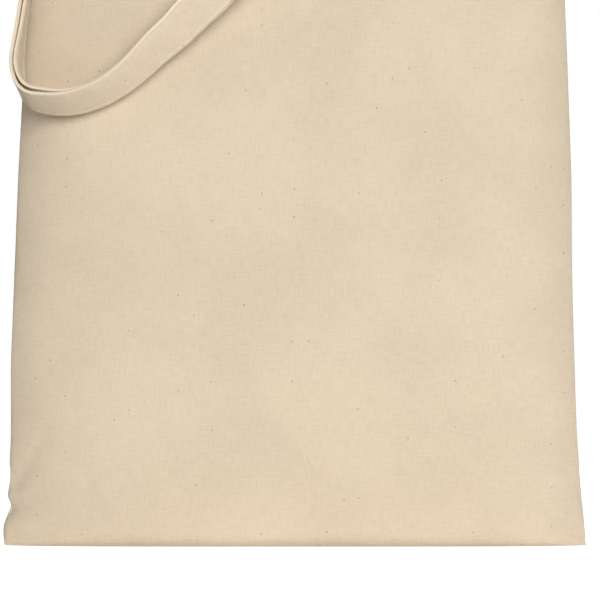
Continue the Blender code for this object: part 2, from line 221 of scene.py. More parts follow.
def section(side, z, places, inset=0.0):
    """Points along one panel at height z, and their distances along the cloth from its middle.

    places run from -1 at the left seam to 1 at the right."""
    ripple = SIDE_RIPPLE * np.sin(2 * np.pi * z / SIDE_RIPPLE_PITCH + 3 * np.sin(z * 40))
    left = curve_through(LEFT_SIDE, z) + ripple - inset
    right = curve_through(RIGHT_SIDE, z) - ripple - inset
    depth = HALF_DEPTH - BASE_TAPER * (1 - z / MOUTH) - base_inset(z) - inset - EDGE_ROUND / 2
    share = np.linspace(-1.0, 1.0, SECTION_STEPS)
    x = share * np.where(share < 0, left, right)
    y = depth * (1 - np.abs(share) ** (SQUARENESS + MOUTH_SQUARENESS * (z / MOUTH) ** 2))
    y = np.sqrt(y * (y + EDGE_ROUND))
    length = np.concatenate(([0.0], np.cumsum(np.hypot(np.diff(x), np.diff(y)))))
    wanted = length[-1] * (0.5 + 0.5 * places)
    px, py = np.interp(wanted, length, x), np.interp(wanted, length, y)
    out = relief(side, px, np.full_like(px, z)) * smoothstep(0.0, SEAM_FADE, py)
    tx, ty = np.gradient(px), np.gradient(py)
    size = np.hypot(tx, ty)
    px, py = px - out * ty / size, py + out * tx / size
    px = px - np.sign(px) * SEAM_PINCH * np.exp(-(py / SEAM_PINCH_WIDTH) ** 2)
    py = np.maximum(py, MIDDLE_GAP)
    return np.stack([px, side * py, np.full_like(px, z)], axis=1), wanted - length[-1] / 2


def wall_point(side, x, z):
    """The point on a panel's outer face straight in front of or behind (x, z), and its direction out."""
    points, _ = section(side, z, np.linspace(-0.999, 0.999, 401))
    y = np.interp(x, points[:, 0], points[:, 1])
    slope = (np.interp(x + NEARBY, points[:, 0], points[:, 1]) - y) / NEARBY
    normal = np.array([-slope * side, 1.0]) / np.hypot(slope, 1.0) * side
    return np.array([x, y, z]), normal


def seam_y(x):
    """The line of the bottom seam, bowed back from the bag's middle plane."""
    return SEAM_SHIFT * (1.0 - (x / SEAM_HALF_WIDTH) ** 2)


# ---- Mesh helpers ----

def build(name, verts, faces, corner_uv, material, sharp=50):
    mesh = bpy.data.meshes.new(name)
    mesh.from_pydata([tuple(v) for v in verts], [], [tuple(f) for f in faces])
    layer = mesh.uv_layers.new(name=WEAVE_MAP)
    layer.data.foreach_set("uv", np.asarray(corner_uv, np.float32).ravel())
    mesh.materials.append(material)
    mesh.shade_smooth()
    mesh.set_sharp_from_angle(angle=np.radians(sharp))
    piece = bpy.data.objects.new(name, mesh)
    bpy.context.scene.collection.objects.link(piece)
    return piece


def grid_faces(rows, columns, wrap=False):
    """Quads of a grid, as corner numbers for the vertices and for the unwrapped map."""
    i, j = np.meshgrid(np.arange(rows - 1), np.arange(columns if wrap else columns - 1), indexing="ij")
    i, j = i.ravel(), j.ravel()
    k = (j + 1) % columns
    faces = np.stack([i * columns + j, i * columns + k, (i + 1) * columns + k, (i + 1) * columns + j], 1)
    wide = columns + 1 if wrap else columns
    corners = np.stack([i * wide + j, i * wide + j + 1, (i + 1) * wide + j + 1, (i + 1) * wide + j], 1)
    return faces, corners


def add_sheet(name, points, places, material, thickness, flip=False, offset=-1.0):
    """An open grid of points, given its thickness by Solidify."""
    rows, columns = points.shape[:2]
    faces, corners = grid_faces(rows, columns)
    if flip:
        faces, corners = faces[:, ::-1], corners[:, ::-1]
    piece = build(name, points.reshape(-1, 3), faces, places.reshape(-1, 2)[corners], material)
    solid = piece.modifiers.new("Thickness", "SOLIDIFY")
    solid.thickness = thickness
    solid.offset = offset
    return piece


def add_sweep(name, rings, places, material):
    """Closed rings joined into a tube with flat ends."""
    rows, columns = rings.shape[:2]
    faces, corners = grid_faces(rows, columns, wrap=True)
    corner_uv = list(places.reshape(-1, 2)[corners].reshape(-1, 2))
    faces = [tuple(face) for face in faces]
    faces.append(tuple(range(columns))[::-1])
    faces.append(tuple(range((rows - 1) * columns, rows * columns)))
    corner_uv += list(places[0, :columns][::-1]) + list(places[-1, :columns])
    return build(name, rings.reshape(-1, 3), faces, corner_uv, material)


# ---- Materials ----

class Nodes:
    """A short way to write a node tree."""

    def __init__(self, name):
        self.material = bpy.data.materials.new(name)
        self.material.use_nodes = True
        self.tree = self.material.node_tree
        self.shader = self.tree.nodes["Principled BSDF"]

    def link(self, value, socket):
        if isinstance(value, bpy.types.NodeSocket):
            self.tree.links.new(value, socket)
        else:
            socket.default_value = value

    def math(self, kind, *values):
        node = self.tree.nodes.new("ShaderNodeMath")
        node.operation = kind
        for value, socket in zip(values, node.inputs):
            self.link(value, socket)
        return node.outputs[0]

    def flat_place(self):
        """The place on the flat cloth, whole and as its two lengths."""
        place = self.tree.nodes.new("ShaderNodeUVMap")
        place.uv_map = WEAVE_MAP
        split = self.tree.nodes.new("ShaderNodeSeparateXYZ")
        self.link(place.outputs[0], split.inputs[0])
        return place.outputs[0], split.outputs[0], split.outputs[1]

    def remap(self, value, low, high, to_low=0.0, to_high=1.0):
        node = self.tree.nodes.new("ShaderNodeMapRange")
        node.interpolation_type = "SMOOTHSTEP"
        for place, item in enumerate((value, low, high, to_low, to_high)):
            self.link(item, node.inputs[place])
        return node.outputs[0]

    def combine(self, x, y, z=0.0):
        node = self.tree.nodes.new("ShaderNodeCombineXYZ")
        for value, socket in zip((x, y, z), node.inputs):
            self.link(value, socket)
        return node.outputs[0]

    def noise(self, vector, scale, detail=2.0):
        node = self.tree.nodes.new("ShaderNodeTexNoise")
        self.link(vector, node.inputs["Vector"])
        node.inputs["Scale"].default_value = scale
        node.inputs["Detail"].default_value = detail
        return node.outputs[0]

    def voronoi(self, vector, scale):
        node = self.tree.nodes.new("ShaderNodeTexVoronoi")
        node.voronoi_dimensions = "2D"
        self.link(vector, node.inputs["Vector"])
        node.inputs["Scale"].default_value = scale
        return node

    def mix(self, factor, first, second):
        node = self.tree.nodes.new("ShaderNodeMix")
        node.data_type = "RGBA"
        self.link(factor, node.inputs["Factor"])
        self.link(first, node.inputs["A"])
        self.link(second, node.inputs["B"])
        return node.outputs["Result"]

    def bump(self, height, distance, strength=1.0, under=None):
        node = self.tree.nodes.new("ShaderNodeBump")
        node.inputs["Strength"].default_value = strength
        node.inputs["Distance"].default_value = distance
        self.link(height, node.inputs["Height"])
        if under is not None:
            self.link(under, node.inputs["Normal"])
        return node.outputs[0]


def srgb(red, green, blue):
    values = [channel / 255 for channel in (red, green, blue)]
    return tuple(v / 12.92 if v <= 0.04045 else ((v + 0.055) / 1.055) ** 2.4 for v in values) + (1.0,)


WARP_PITCH = 0.00046
WEFT_PITCH = 0.00050
SWAY, SWAY_SCALE = 0.0007, 90.0      # how far the yarns wander, and how quickly
WARP_SLUB, WEFT_SLUB = (0.0010, 0.0090), (0.0090, 0.0011)
SLUB_HEIGHT, YARN_HEIGHT, FUZZ_HEIGHT = 0.00007, 0.00008, 0.00002
BLOTCH_SCALE, FUZZ_SCALE = 14.0, 2600.0
FLECK_RADII = (0.010, 0.058)         # of a seed fleck, as a share of its cell
EDGE_WEAR_HIGHLIGHT_LIMITS = (0.975, 0.998)          # cosine of the way round a strap where its lighter edge, part wear and part painted highlight, starts and is full
# Tints over the cloth's own two colours, and how far each one goes at its strongest.
THICK_YARN, THICK_YARN_TINT = srgb(244, 232, 211), 0.14
THIN_YARN, THIN_YARN_TINT = srgb(190, 168, 136), 0.12
YARN_GAP, YARN_GAP_TINT = srgb(184, 160, 128), 0.22
FLECK, FLECK_TINT = srgb(140, 104, 66), 0.50
# A strap's folded edges painted lighter: partly wear, partly a painted highlight where light catches the
# edge.
STRAP_EDGE_WEAR_HIGHLIGHT, STRAP_EDGE_WEAR_HIGHLIGHT_TINT = srgb(249, 233, 206), 0.55
CLOTH_ROUGHNESS = (0.86, 0.98)
FLECKS_PER_METRE = 95.0
FLECK_RARITY = 0.78          # share of the cells that hold no seed fleck


def canvas(name, light, dark, shift=0.0, girth=0.0, depth=1.0):
    """Plain-weave cotton: yarns, slubs, seed flecks and slow changes of colour, all on the flat cloth.

    shift moves the pattern, girth is the way round a strap, whose edges are painted lighter, partly as wear
    and partly as a painted highlight, and depth is the strength of the weave's bump."""
    n = Nodes(name)
    _, along, across = n.flat_place()
    u0, v0 = n.math("ADD", along, shift), across
    wander = n.noise(n.combine(u0, v0), SWAY_SCALE, 1.0)
    sway = n.math("MULTIPLY", n.math("SUBTRACT", wander, 0.5), SWAY)
    u, v = n.math("ADD", u0, sway), n.math("ADD", v0, sway)

    a = n.math("SINE", n.math("MULTIPLY", u, np.pi / WARP_PITCH))
    b = n.math("SINE", n.math("MULTIPLY", v, np.pi / WEFT_PITCH))
    over = n.math("MULTIPLY", a, b)
    warp = n.math("MULTIPLY", n.math("ABSOLUTE", a), n.math("ADD", over, 1.15))
    weft = n.math("MULTIPLY", n.math("ABSOLUTE", b), n.math("SUBTRACT", 1.15, over))
    yarn = n.math("MULTIPLY", n.math("MAXIMUM", warp, weft), 0.5)

    slubs = []
    for (wide, high), layer in ((WARP_SLUB, 0.0), (WEFT_SLUB, 4.0)):
        scaled_u = n.math("MULTIPLY", u, 1 / wide)
        scaled_v = n.math("MULTIPLY", v, 1 / high)
        slubs.append(n.noise(n.combine(scaled_u, scaled_v, layer), 1.0))
    slub = n.math("ADD", *slubs)
    blotch = n.noise(n.combine(u, v, 2.0), BLOTCH_SCALE, 3.0)
    fuzz = n.noise(n.combine(u, v, 7.0), FUZZ_SCALE, 2.0)

    colour = n.mix(n.remap(blotch, 0.35, 0.65), dark, light)
    colour = n.mix(n.remap(slub, 0.85, 1.25, 0.0, THICK_YARN_TINT), colour, THICK_YARN)
    colour = n.mix(n.remap(slub, 1.05, 0.66, 0.0, THIN_YARN_TINT), colour, THIN_YARN)
    colour = n.mix(n.remap(yarn, 0.55, 0.12, 0.0, YARN_GAP_TINT), colour, YARN_GAP)
    fleck = n.voronoi(n.combine(u, n.math("MULTIPLY", v, 0.8)), FLECKS_PER_METRE)
    chance = n.tree.nodes.new("ShaderNodeSeparateColor")
    n.link(fleck.outputs["Color"], chance.inputs[0])
    radius = n.remap(chance.outputs[0], FLECK_RARITY, 1.0, *FLECK_RADII)
    seed = n.remap(n.math("SUBTRACT", fleck.outputs["Distance"], radius), 0.010, -0.022, 0.0, FLECK_TINT)
    seen = n.math("GREATER_THAN", chance.outputs[0], FLECK_RARITY)
    colour = n.mix(n.math("MULTIPLY", seed, seen), colour, FLECK)
    if girth:
        # Lighter edges round the strap: partly wear, partly a painted highlight.
        turn = n.math("COSINE", n.math("MULTIPLY", across, 2 * np.pi / girth))
        rim = n.remap(n.math("ABSOLUTE", turn), *EDGE_WEAR_HIGHLIGHT_LIMITS, 0.0, STRAP_EDGE_WEAR_HIGHLIGHT_TINT)
        colour = n.mix(rim, colour, STRAP_EDGE_WEAR_HIGHLIGHT)
    n.link(colour, n.shader.inputs["Base Color"])

    rough = n.remap(fuzz, 0.3, 0.7, *CLOTH_ROUGHNESS)
    n.link(rough, n.shader.inputs["Roughness"])
    n.shader.inputs["Specular IOR Level"].default_value = 0.15
    n.shader.inputs["Sheen Weight"].default_value = 0.12
    n.shader.inputs["Sheen Roughness"].default_value = 0.6
    low = n.bump(slub, SLUB_HEIGHT, depth)
    fine = n.bump(yarn, YARN_HEIGHT, depth, low)
    n.link(n.bump(fuzz, FUZZ_HEIGHT, depth, fine), n.shader.inputs["Normal"])
    return n.material


PLY_LENGTH = 0.0009          # one twist of the thread
PLY_HEIGHT = 0.00008


def thread(name):
    """Two-ply cotton thread, twisted along its length."""
    n = Nodes(name)
    place, along, round_it = n.flat_place()
    turns_along = n.math("MULTIPLY", along, 1 / PLY_LENGTH)
    turn = n.math("ADD", turns_along, n.math("MULTIPLY", round_it, 1 / PLY_LENGTH))
    ply = n.math("ABSOLUTE", n.math("SINE", n.math("MULTIPLY", turn, np.pi)))
    tint = n.noise(place, 300.0, 1.0)
    colour = n.mix(n.remap(ply, 0.5, 0.0, 0.0, 0.5), srgb(238, 224, 200), THIN_YARN)
    colour = n.mix(n.remap(tint, 0.4, 0.7, 0.0, 0.4), colour, srgb(228, 211, 182))
    n.link(colour, n.shader.inputs["Base Color"])
    n.shader.inputs["Roughness"].default_value = 0.62
    n.shader.inputs["Sheen Weight"].default_value = 0.1
    n.link(n.bump(ply, PLY_HEIGHT), n.shader.inputs["Normal"])
    return n.material


FLOOR_GLOW, FLOOR_EXTRA = 0.13, 0.71     # glow on the bag, and what a direct view of the floor adds


def paper(name):
    """Matt white paper that also glows a little, so that it meets the white world without a line."""
    n = Nodes(name)
    grain = n.noise(n.tree.nodes.new("ShaderNodeTexCoord").outputs["Object"], 40.0)
    n.link(n.mix(grain, (0.90, 0.90, 0.90, 1.0), (0.93, 0.93, 0.93, 1.0)), n.shader.inputs["Base Color"])
    n.shader.inputs["Roughness"].default_value = 0.9
    n.shader.inputs["Specular IOR Level"].default_value = 0.0
    n.shader.inputs["Emission Color"].default_value = (1.0, 1.0, 1.0, 1.0)
    seen = n.tree.nodes.new("ShaderNodeLightPath").outputs["Is Camera Ray"]
    glow = n.math("ADD", FLOOR_GLOW, n.math("MULTIPLY", seen, FLOOR_EXTRA))
    n.link(glow, n.shader.inputs["Emission Strength"])
    return n.material


# ---- Camera, light and floor ----
FRAME_WIDTH = 0.3915         # what the view takes in at the bag's middle plane
VIEW_SHIFT = 0.0036
VIEW_HEIGHT = 0.1600
CAMERA_DISTANCE = 2.0
FLOOR_RADIUS = 1.0
FLOOR_SIDES = 96
FLOOR_DROP = 0.0002          # the floor lies this far under the base
KEY_LIGHT = ((0.50, -2.35, 0.95), 1.5, 61.5)     # place, size and power
BACK_LIGHT = ((-0.6, 2.3, 0.6), 1.4, 56.0)
WORLD_GLOW = (-0.7, 0.7, 0.05, 0.25)     # from and to, left to right, and the strengths there
AIM = (0.0, 0.0, 0.2)


def add_camera():
    data = bpy.data.cameras.new("camera")
    data.sensor_width = 36.0
    data.lens = data.sensor_width * CAMERA_DISTANCE / FRAME_WIDTH
    camera = bpy.data.objects.new("camera", data)
    camera.location = (VIEW_SHIFT, -CAMERA_DISTANCE, VIEW_HEIGHT)
    camera.rotation_euler = (np.pi / 2, 0.0, 0.0)
    bpy.context.scene.collection.objects.link(camera)
    bpy.context.scene.camera = camera


def add_area(name, location, size, power):
    """A square light that looks at the middle of the bag."""
    data = bpy.data.lights.new(name, "AREA")
    data.size = size
    data.energy = power
    lamp = bpy.data.objects.new(name, data)
    lamp.location = location
    aim = Vector(AIM) - Vector(location)
    lamp.rotation_euler = aim.to_track_quat("-Z", "Y").to_euler()
    bpy.context.scene.collection.objects.link(lamp)


def add_world():
    """White to the camera, and a dim glow on the bag that is weaker from the left."""
    world = bpy.data.worlds.new("studio")
    world.use_nodes = True
    tree = world.node_tree
    plain = tree.nodes["Background"]
    way = tree.nodes.new("ShaderNodeSeparateXYZ")
    glow = tree.nodes.new("ShaderNodeMapRange")
    for place, value in enumerate(WORLD_GLOW, start=1):
        glow.inputs[place].default_value = value
    tree.links.new(tree.nodes.new("ShaderNodeTexCoord").outputs["Generated"], way.inputs[0])
    tree.links.new(way.outputs[0], glow.inputs[0])
    tree.links.new(glow.outputs[0], plain.inputs["Strength"])
    white = tree.nodes.new("ShaderNodeBackground")
    white.inputs["Strength"].default_value = 1.0
    white.inputs["Color"].default_value = (1.0, 1.0, 1.0, 1.0)
    path = tree.nodes.new("ShaderNodeLightPath")
    mix = tree.nodes.new("ShaderNodeMixShader")
    tree.links.new(path.outputs["Is Camera Ray"], mix.inputs[0])
    tree.links.new(plain.outputs[0], mix.inputs[1])
    tree.links.new(white.outputs[0], mix.inputs[2])
    tree.links.new(mix.outputs[0], tree.nodes["World Output"].inputs[0])
    bpy.context.scene.world = world
    bpy.context.scene.view_settings.view_transform = "Standard"


def add_floor():
    """A round sheet of paper under the bag."""
    angle = np.linspace(0, 2 * np.pi, FLOOR_SIDES, endpoint=False)
    rim = FLOOR_RADIUS * np.stack([np.cos(angle), np.sin(angle), 0 * angle], axis=1)
    floor = build("floor", rim, [tuple(range(FLOOR_SIDES))], rim[:, :2], paper("floor_paper"))
    floor.location.z = -FLOOR_DROP


# ---- Panels, hems and seams ----
COLUMNS = 201
EVEN_PLACES = np.linspace(-1.0, 1.0, COLUMNS)
PLACES = 0.25 * EVEN_PLACES + 0.75 * np.sin(np.pi / 2 * EVEN_PLACES)     # closer near the sides
LOW_BAND, TOP_BAND = 0.06, 0.040     # rows lie closer below this height, and this near the mouth
BAND_ROWS = (38, 120, 62)            # rows up to the first, on to the second, and on to the mouth
INNER_DROPS = (0.0012, 0.0025)       # the panel's last rows, down inside the fold at the mouth
SEAM_RISE, SEAM_RISE_WIDTH = 0.0005, 0.0012      # the base is drawn up along the bottom seam
HEM_MARGIN = 7               # columns by which the hem stops short of a side seam


def panel_grid(side):
    """From the bottom seam across the base, up the wall, over the fold at the mouth and down inside."""
    rows, maps = [], []
    outline, along = section(side, 0.0, PLACES)
    seam = outline.copy()
    seam[:, 1] = seam_y(outline[:, 0]) + side * MIDDLE_GAP
    base_depth = np.abs(outline[:, 1] - seam[:, 1])
    for t in np.linspace(0.0, 1.0, 7):
        row = seam * (1 - t) + outline * t
        row[:, 2] += SEAM_RISE * np.exp(-(t * base_depth / SEAM_RISE_WIDTH) ** 2)
        rows.append(row)
        maps.append(np.stack([along, -base_depth * (1 - t)], axis=1))
    turn = [BASE_ROUND * (1 - np.cos(a)) for a in np.linspace(0, np.pi / 2, 11)[1:]]
    levels = (BASE_ROUND, LOW_BAND, MOUTH - TOP_BAND, MOUTH - FOLD / 2)
    bands = [np.linspace(low, high, count)[1:] for low, high, count in zip(levels, levels[1:], BAND_ROWS)]
    for z in np.concatenate([turn] + bands):
        row, along = section(side, z, PLACES)
        rows.append(row)
        maps.append(np.stack([along, np.full_like(along, z)], axis=1))
    top, radius = MOUTH - FOLD / 2, FOLD / 2
    for angle in np.linspace(0, np.pi, 9)[1:]:
        row, along = section(side, top, PLACES, inset=radius * (1 - np.cos(angle)))
        row[:, 2] += radius * np.sin(angle)
        rows.append(row)
        maps.append(np.stack([along, np.full_like(along, top + radius * angle)], axis=1))
    for drop in INNER_DROPS:
        row, along = section(side, top - drop, PLACES, inset=FOLD)
        rows.append(row)
        maps.append(np.stack([along, np.full_like(along, top + radius * np.pi + drop)], axis=1))
    return np.array(rows), np.array(maps)


def add_panel(label, side, material):
    points, places = panel_grid(side)
    piece = add_sheet(label + "_panel_cloth", points, places, material, CLOTH, flip=side > 0)
    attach(piece, BODY)
    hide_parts(label + "_panel")
    return piece


def add_hem(label, side, material):
    """The turned edge inside the mouth, down to its rolled lower edge."""
    keep = slice(HEM_MARGIN, COLUMNS - HEM_MARGIN)
    rows, maps = [], []
    lower = MOUTH - HEM_DEPTH
    for z in np.linspace(MOUTH - FOLD * 1.5, lower, 24):
        row, along = section(side, z, PLACES, inset=FOLD)
        rows.append(row[keep])
        maps.append(np.stack([along, np.full_like(along, 2 * MOUTH - z)], axis=1)[keep])
    for angle in np.linspace(0, np.pi, 6)[1:]:
        row, along = section(side, lower, PLACES, inset=FOLD - ROLL * (1 - np.cos(angle)))
        row[:, 2] -= ROLL * np.sin(angle)
        rows.append(row[keep])
        maps.append(np.stack([along, np.full_like(along, 2 * MOUTH - lower + ROLL * angle)], axis=1)[keep])
    points, places = np.array(rows), np.array(maps)
    piece = add_sheet(label + "_hem_fold", points, places, material, HEM_CLOTH, flip=side > 0)
    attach(piece, BODY)
    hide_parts(label + "_hem")


STRIP_COLUMNS = 5


def strip_grid(middles, across, width):
    """A narrow strip: a line of points, widened along each one's own direction, and its flat places."""
    spread = np.linspace(0.0, width, STRIP_COLUMNS)
    points = middles[:, None, :] + across[:, None, :] * spread[None, :, None]
    return points, np.stack(np.meshgrid(lengths_along(middles), spread, indexing="ij"), axis=2)


WAVER, FINE_WAVER = 0.0009, 0.0004
WAVER_DEPTH = 0.006          # this far in from the side, the allowance wavers fully
BOTTOM_SEAM_Z = 0.0012


def side_line(side, depth, heights):
    """A line up the inside of the bag, a given depth in from its side, slightly wavy."""
    x = curve_through(LEFT_SIDE if side < 0 else RIGHT_SIDE, heights)
    waver = WAVER * np.sin(heights * 47 + side) + FINE_WAVER * np.sin(heights * 131)
    return np.stack([side * (x - depth), waver * min(1.0, depth / WAVER_DEPTH), heights], axis=1)


def add_side_seam(label, side, cloth, cotton):
    heights = np.linspace(SEAM_FOOT, MOUTH - HEM_DEPTH - SEAM_TOP_GAP, 150)
    root = side_line(side, SIDE_INSET, heights)
    edge = side_line(side, SIDE_INSET + ALLOWANCE, heights)
    across = unit_rows(edge - root)
    points, places = strip_grid(root, across, ALLOWANCE)
    piece = add_sheet(label + "_side_allowance", points, places, cloth, 2 * CLOTH, offset=0.0)
    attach(piece, BODY)
    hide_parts(label + "_side_seam")
    add_overlock(label + "_seam_thread", edge, across, cotton, label + "_seam_overlock")


def add_bottom_seam(cloth, cotton):
    xs = np.linspace(-BOTTOM_SEAM_HALF, BOTTOM_SEAM_HALF, 140)
    lean = 0.25 + 0.1 * np.sin(xs * 30)
    root = np.stack([xs, seam_y(xs), np.full_like(xs, BOTTOM_SEAM_Z)], axis=1)
    across = unit_rows(np.stack([np.zeros_like(xs), lean, np.ones_like(xs)], axis=1))
    points, places = strip_grid(root, across, ALLOWANCE)
    piece = add_sheet("bottom_allowance", points, places, cloth, 2 * CLOTH, offset=0.0)
    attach(piece, BODY)
    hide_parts("bottom_seam")
    add_overlock("bottom_seam_thread", root + across * ALLOWANCE, across, cotton, "bottom_seam_overlock")


OVERLOCK_TURN = 0.0024       # length of edge that one turn of thread takes
OVERLOCK_REACH = 0.0042      # how far the turns reach in from the raw edge
OVERLOCK_HALF_THICK = 0.00085        # how far they stand out from the middle of the allowance
OVERLOCK_RADIUS = 0.00016
OVERLOCK_SIDES = 5
TURN_STEPS = 12              # points for each turn of it
OVERLOCK_SHIFT = 0.86        # moves them in by this share of half the reach, so they just pass the edge
RING_GUIDE = (0.31, 0.93, 0.17)      # direction from which the points round a thread are counted


def add_overlock(name, edge, across, material, node):
    """Thread wound round a raw edge: a flattened helix along it."""
    along = lengths_along(edge)
    steps = int(along[-1] / OVERLOCK_TURN * TURN_STEPS)
    s = np.linspace(0.0, along[-1], steps)
    middle, inward = read_at(s, along, edge), read_at(s, along, across)
    face = np.cross(unit_rows(np.gradient(middle, axis=0)), inward)
    angle = 2 * np.pi * s / OVERLOCK_TURN
    beside = OVERLOCK_REACH / 2 * (np.cos(angle) - OVERLOCK_SHIFT)
    path = middle + inward * beside[:, None] + face * (OVERLOCK_HALF_THICK * np.sin(angle))[:, None]
    rings, places = tube_rings(path, OVERLOCK_RADIUS, OVERLOCK_SIDES)
    piece = add_sweep(name, rings, places, material)
    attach(piece, BODY)
    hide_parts(node)


def tube_rings(path, radius, sides):
    """Rings round a path, and their places on the unwrapped thread."""
    tangent = unit_rows(np.gradient(path, axis=0))
    first = unit_rows(np.cross(tangent, RING_GUIDE))
    second = np.cross(tangent, first)
    angle = np.arange(sides) * 2 * np.pi / sides
    rings = path[:, None] + radius * (first[:, None] * np.cos(angle)[None, :, None]
                                      + second[:, None] * np.sin(angle)[None, :, None])
    round_it = np.arange(sides + 1) / sides * 2 * np.pi * radius
    return rings, np.stack(np.meshgrid(lengths_along(path), round_it, indexing="ij"), axis=2)


# ---- Stitches ----
STITCH_PITCH = 0.0031
STITCH_LENGTH = 0.0025
STITCH_RADIUS = 0.00026
STITCH_SIDES = 6
STITCH_SIDE_WIDTH = 0.0003   # of each side, on the unwrapped thread
# Along a stitch: place from end to end, height over the cloth, and thickness.
STITCH_SHAPE = [(-0.50, -0.00022, 0.55), (-0.34, 0.00004, 0.95), (0.0, 0.00014, 1.0),
                (0.34, 0.00004, 0.95), (0.50, -0.00022, 0.55)]


def add_stitches(name, stitches, material):
    """One mesh of many stitches; each is (middle, direction, outwards)."""
    verts, faces, corner_uv = [], [], []
    angle = np.arange(STITCH_SIDES) * 2 * np.pi / STITCH_SIDES
    quads, corners = grid_faces(len(STITCH_SHAPE), STITCH_SIDES, wrap=True)
    places = np.stack(np.meshgrid([t[0] * STITCH_LENGTH for t in STITCH_SHAPE],
                                  np.arange(STITCH_SIDES + 1) * STITCH_SIDE_WIDTH, indexing="ij"), axis=2)
    own_uv = places.reshape(-1, 2)[corners].reshape(-1, 2)
    for middle, ahead, out in stitches:
        start = len(verts)
        beside = np.cross(ahead, out)
        for place, height, size in STITCH_SHAPE:
            centre = middle + ahead * place * STITCH_LENGTH + out * height
            r = STITCH_RADIUS * size
            verts.extend(centre + r * (beside * np.cos(a) + out * np.sin(a)) for a in angle)
        faces.extend(tuple(start + k for k in quad) for quad in quads)
        corner_uv.extend(own_uv)
        last = start + (len(STITCH_SHAPE) - 1) * STITCH_SIDES
        faces.append(tuple(start + k for k in range(STITCH_SIDES))[::-1])
        faces.append(tuple(last + k for k in range(STITCH_SIDES)))
        corner_uv.extend([(0.0, 0.0)] * (2 * STITCH_SIDES))
    return build(name, verts, faces, corner_uv, material, sharp=80)


def hem_stitches(side, out_face):
    """The row that holds the hem, on the outer face of the panel or on the hem inside."""
    places = np.linspace(-0.985, 0.985, 801)
    points, along = section(side, HEM_ROW, places, inset=0.0 if out_face else FOLD)
    stitches = []
    for s in np.arange(along[0], along[-1], STITCH_PITCH):
        here = read_at(s, along, points)
        ahead = unit(read_at(s + NEARBY, along, points) - here)
        out = unit(np.cross(ahead, np.array([0.0, 0.0, 1.0]))) * (1.0 if side < 0 else -1.0)
        stitches.append((here, ahead, out if out_face else -out))
    return stitches


def add_hem_row(label, side, material):
    stitches = hem_stitches(side, True) + hem_stitches(side, False)
    piece = add_stitches(label + "_hem_row", stitches, material)
    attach(piece, BODY)
    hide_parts(label + "_hem_stitching")


BOX_HALF = (0.0095, 0.010)   # half the width and half the height of a tack
BOX_MIDDLE = MOUTH - 0.014


def box_lines():
    """The four sides and the cross of a tack, each from one (x, z) to another."""
    w, h = BOX_HALF
    corners = [(-w, -h), (w, -h), (w, h), (-w, h)]
    sides = list(zip(corners, corners[1:] + corners[:1]))
    return sides + [((-w, -h), (w, h)), ((-w, h), (w, -h))]


def add_box_stitch(label, x, side, material):
    """The box and cross of thread over a sewn end, outside on the panel and inside on the strap."""
    stitches = []
    for (x0, z0), (x1, z1) in box_lines():
        length = np.hypot(x1 - x0, z1 - z0)
        count = int(round(length / STITCH_PITCH))
        for k in range(count):
            t = (k + 0.5) / count
            px, pz = x + x0 + (x1 - x0) * t, BOX_MIDDLE + z0 + (z1 - z0) * t
            ahead = unit(np.array([x1 - x0, 0.0, z1 - z0]))
            outside, normal = wall_point(side, px, pz)
            out = unit(np.array([normal[0], normal[1], 0.0]))
            stitches.append((outside, unit(ahead - out * ahead.dot(out)), out))
            inside = np.array([px, side * (SEWN_Y - STRAP_THICKNESS / 2), pz])
            stitches.append((inside, ahead, np.array([0.0, -side, 0.0])))
    piece = add_stitches(label + "_tack", stitches, material)
    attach(piece, BODY)
    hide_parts(label + "_box_stitch")


# ---- Handles: whole straps, close to the frame's routes ----
# Each route is a list of points with the direction across the strap there.
LOOP_ROUTE = [
    ((-0.1400, -0.0250, 0.4190), (0.00, -1.00, 0.00)),
    ((-0.1530, -0.0262, 0.4165), (0.00, -1.00, 0.00)),
    ((-0.1635, -0.0300, 0.4065), (0.02, -1.00, 0.00)),
    ((-0.1692, -0.0328, 0.3900), (0.04, -1.00, 0.00)),
    ((-0.1735, -0.0314, 0.3620), (0.03, -1.00, 0.00)),
    ((-0.1774, -0.0294, 0.3340), (-0.03, -0.99, 0.04)),
    ((-0.1800, -0.0284, 0.3125), (-0.13, -0.97, 0.17)),
    ((-0.1775, -0.0318, 0.2968), (-0.14, -0.89, 0.44)),
    ((-0.1712, -0.0345, 0.2885), (-0.13, -0.89, 0.42)),
    ((-0.1610, -0.0362, 0.2863), (-0.09, -0.88, 0.46)),
    ((-0.1510, -0.0375, 0.2854), (-0.11, -0.86, 0.49)),
    ((-0.1404, -0.0380, 0.2865), (-0.18, -0.82, 0.54)),
    ((-0.1301, -0.0385, 0.2899), (-0.26, -0.79, 0.55)),
    ((-0.1182, -0.0393, 0.2957), (-0.39, -0.76, 0.50)),
    ((-0.1037, -0.0405, 0.3068), (-0.53, -0.70, 0.47)),
    ((-0.0893, -0.0418, 0.3206), (-0.66, -0.57, 0.47)),
    ((-0.0762, -0.0428, 0.3325), (-0.73, -0.42, 0.52)),
    ((-0.0540, -0.0450, 0.3545), (-0.72, -0.18, 0.66)),
    ((-0.0280, -0.0465, 0.3800), (-0.69, 0.00, 0.72)),
    ((-0.0010, -0.0455, 0.4030), (-0.70, 0.15, 0.68)),
    ((0.0200, -0.0385, 0.4155), (-0.68, 0.45, 0.45)),
    ((0.0420, -0.0250, 0.4190), (-0.62, 0.78, 0.00)),
]
FRONT_LEFT_ROUTE = [
    ((-HANDLE_X, -SEWN_Y, MOUTH - SEWN_DEPTH), (1.00, 0.00, 0.00)),
    ((-HANDLE_X, -SEWN_Y, TURN_Z), (1.00, 0.00, 0.00)),
    ((-0.073, -0.0212, 0.4040), (0.60, -0.65, 0.40)),
    ((-0.089, -0.0230, 0.4120), (0.30, -0.93, 0.25)),
    ((-0.112, -0.0248, 0.4155), (0.05, -1.00, 0.05)),
]
